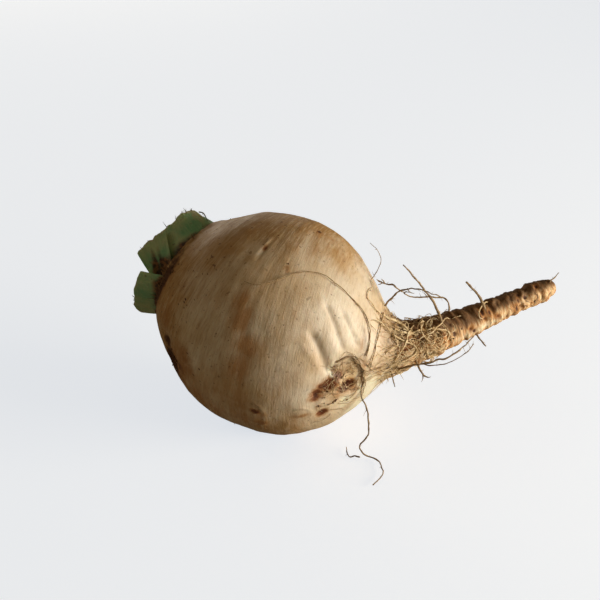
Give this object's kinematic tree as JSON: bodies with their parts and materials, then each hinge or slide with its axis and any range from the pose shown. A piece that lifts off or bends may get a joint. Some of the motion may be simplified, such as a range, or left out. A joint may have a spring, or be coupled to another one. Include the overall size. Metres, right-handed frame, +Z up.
{
  "type": "turnip",
  "caption": "Round turnip lying on its side, with a long curved tap root, fine side roots and a crown of short cut leaf stalks.",
  "frame": {"origin": "middle of the small flat spot under the bulb on which the turnip rests", "axes": "+X along the bulb from its crown towards the tip of the tap root, +Z up, +Y the side towards which the tap root curves"},
  "size_m": [0.187, 0.1209, 0.0991],
  "materials": {
    "turnip_skin": "matte",
    "leaf_stalk": "satin",
    "fine_root": "matte"
  },
  "bodies": {
    "root": {"crown_bud": "leaf_stalk", "dried_fibre": "leaf_stalk", "inner_stalk_1": "leaf_stalk", "inner_stalk_2": "leaf_stalk", "inner_stalk_3": "leaf_stalk", "leaf_stalk_1": "leaf_stalk", "leaf_stalk_2": "leaf_stalk", "leaf_stalk_3": "leaf_stalk", "leaf_stalk_4": "leaf_stalk", "leaf_stalk_5": "leaf_stalk", "leaf_stalk_6": "leaf_stalk", "neck_root_1": "fine_root", "neck_root_2": "fine_root", "neck_root_3": "fine_root", "rootlet_bridge": "fine_root", "rootlet_hanging": "fine_root", "rootlet_hanging_fork": "fine_root", "rootlet_low_fine": "fine_root", "rootlet_low_hair": "fine_root", "rootlet_low_long": "fine_root", "rootlet_low_short": "fine_root", "rootlet_low_stub": "fine_root", "rootlet_over_bulb": "fine_root", "rootlet_shoulder": "fine_root", "rootlet_spike_long": "fine_root", "rootlet_spike_short": "fine_root", "rootlet_tip": "fine_root", "rootlet_upper": "fine_root", "rootlet_upper_fork": "fine_root", "rootlet_wisp": "fine_root", "turnip_root": "turnip_skin"}
  },
  "joints": []
}
